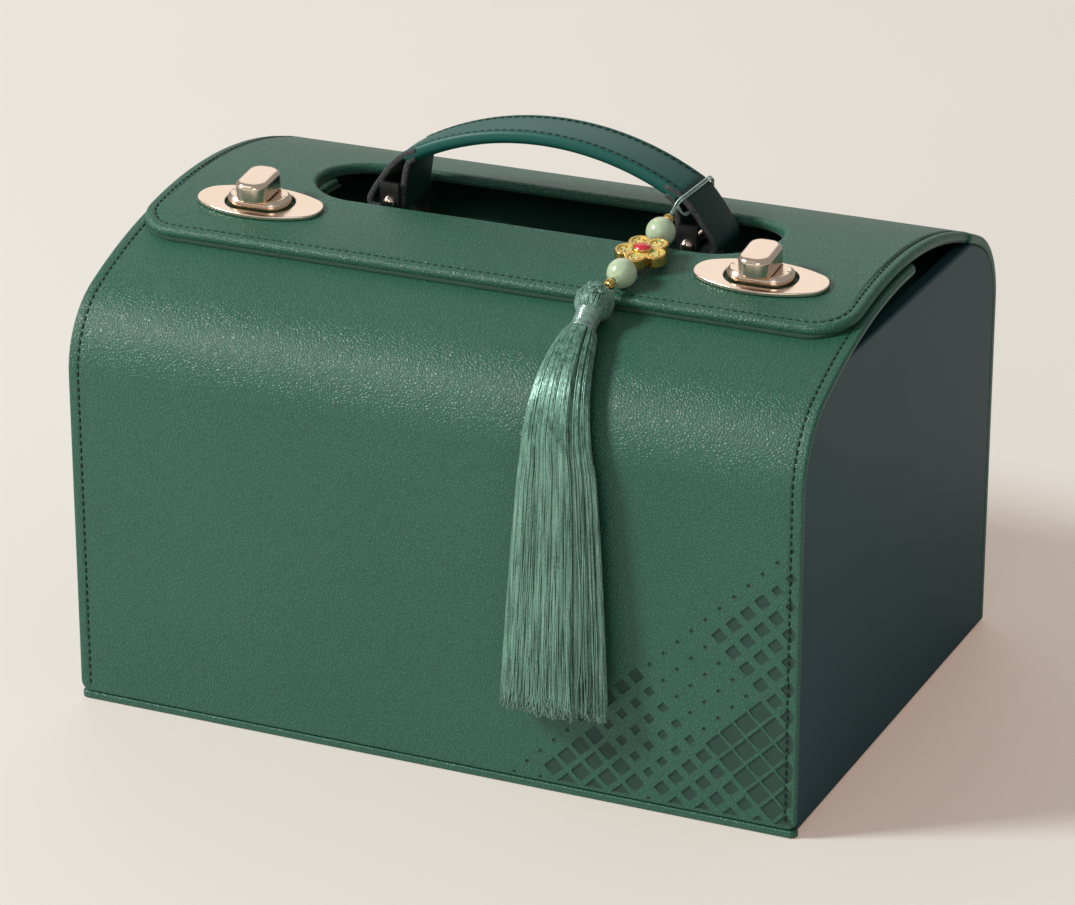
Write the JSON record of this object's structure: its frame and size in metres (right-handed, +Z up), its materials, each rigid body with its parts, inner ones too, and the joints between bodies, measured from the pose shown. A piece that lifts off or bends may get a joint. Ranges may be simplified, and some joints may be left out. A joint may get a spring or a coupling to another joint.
{
  "type": "game tile case with drawers",
  "caption": "Leather covered game tile case with a domed lid, folding front leaf, drawers, arched handle, quarter-turn locks and a tassel charm",
  "frame": {"origin": "middle of the base board's underside", "axes": "+X to the right, front faces -Y, +Z up"},
  "size_m": [0.3, 0.23, 0.221],
  "materials": {
    "case_leather": "pebbled grain, satin",
    "side_leather": "fine grain, satin",
    "board": "wrapped board",
    "lining": "velvet",
    "rose_gold": "polished",
    "dark_steel": "satin",
    "strap_leather": "smooth, painted edges",
    "jade": "polished stone",
    "gold": "polished",
    "stone": "polished stone",
    "silk": "silk thread"
  },
  "bodies": {
    "carcass": {"base_board": "case_leather", "plinth_rails": "board", "side_panel_left": "side_leather", "side_panel_right": "side_leather", "back_panel": "case_leather", "top_board": "board", "shelves": "board", "handle_brackets": "dark_steel", "handle_bars": "rose_gold", "bracket_screws": "dark_steel"},
    "lid": {"lid_board": "case_leather", "lid_lining": "lining", "lock_plates": "rose_gold", "lock_bosses": "rose_gold"},
    "front_leaf": {"front_leaf": "case_leather", "leaf_wings": "case_leather", "leaf_lining": "lining", "keepers": "dark_steel"},
    "knob_left": {"knob_left": "rose_gold", "shaft_left": "dark_steel", "cam_left": "dark_steel"},
    "knob_right": {"knob_right": "rose_gold", "shaft_right": "dark_steel", "cam_right": "dark_steel"},
    "handle": {"handle_grip": "strap_leather", "strap_loops": "strap_leather", "charm_thread": "silk", "jade_bead_upper": "jade", "jade_bead_lower": "jade", "gold_bead_upper": "gold", "gold_bead_lower": "gold", "flower_charm": "gold", "flower_stone": "stone", "tassel_knot": "silk", "tassel_binding": "silk", "tassel_skirt": "silk"},
    "drawer_1": {"drawer_1_front": "board", "drawer_1_walls": "board", "drawer_1_floor": "board", "drawer_1_felt": "lining", "drawer_1_tab": "strap_leather", "drawer_1_rivets": "rose_gold"},
    "drawer_2": {"drawer_2_front": "board", "drawer_2_walls": "board", "drawer_2_floor": "board", "drawer_2_felt": "lining", "drawer_2_tab": "strap_leather", "drawer_2_rivets": "rose_gold"},
    "drawer_3": {"drawer_3_front": "board", "drawer_3_walls": "board", "drawer_3_floor": "board", "drawer_3_felt": "lining", "drawer_3_tab": "strap_leather", "drawer_3_rivets": "rose_gold"},
    "drawer_4": {"drawer_4_front": "board", "drawer_4_walls": "board", "drawer_4_floor": "board", "drawer_4_felt": "lining", "drawer_4_tab": "strap_leather", "drawer_4_rivets": "rose_gold"}
  },
  "joints": [
    {"name": "lid_hinge", "type": "hinge", "parent": "carcass", "child": "lid", "pos_m": [0, 0.0735, 0.17741], "axis": [-1, 0, 0], "range_deg": [0, 180], "deforming": ["charm_thread", "jade_bead_upper", "jade_bead_lower", "gold_bead_upper", "gold_bead_lower", "flower_charm", "flower_stone", "tassel_knot", "tassel_binding", "tassel_skirt"]},
    {"name": "leaf_hinge", "type": "hinge", "parent": "carcass", "child": "front_leaf", "pos_m": [0, -0.108, 0.0031], "axis": [1, 0, 0], "range_deg": [0, 90]},
    {"name": "drawer_1_slide", "type": "slide", "parent": "carcass", "child": "drawer_1", "axis": [0, -1, 0], "range_m": [0, 0.06]},
    {"name": "drawer_2_slide", "type": "slide", "parent": "carcass", "child": "drawer_2", "axis": [0, -1, 0], "range_m": [0, 0.125]},
    {"name": "drawer_3_slide", "type": "slide", "parent": "carcass", "child": "drawer_3", "axis": [0, -1, 0], "range_m": [0, 0.15]},
    {"name": "drawer_4_slide", "type": "slide", "parent": "carcass", "child": "drawer_4", "axis": [0, -1, 0], "range_m": [0, 0.15]},
    {"name": "knob_left_turn", "type": "hinge", "parent": "lid", "child": "knob_left", "pos_m": [-0.104, -0.035, 0.18752], "axis": [0, -0.1632, 0.9866], "range_deg": [0, 90]},
    {"name": "knob_right_turn", "type": "hinge", "parent": "lid", "child": "knob_right", "pos_m": [0.104, -0.035, 0.18752], "axis": [0, -0.1632, 0.9866], "range_deg": [0, 90]},
    {"name": "handle_sink", "type": "slide", "parent": "carcass", "child": "handle", "axis": [0, 0, -1], "range_m": [0, 0.006]}
  ],
  "couplings": [
    {"joint": "leaf_hinge", "follows": "lid_hinge", "ratio": 0.5},
    {"joint": "drawer_1_slide", "follows": "lid_hinge", "m_per_rad": 0.019099},
    {"joint": "drawer_2_slide", "follows": "lid_hinge", "m_per_rad": 0.039789},
    {"joint": "drawer_3_slide", "follows": "lid_hinge", "m_per_rad": 0.047746},
    {"joint": "drawer_4_slide", "follows": "lid_hinge", "m_per_rad": 0.047746}
  ]
}
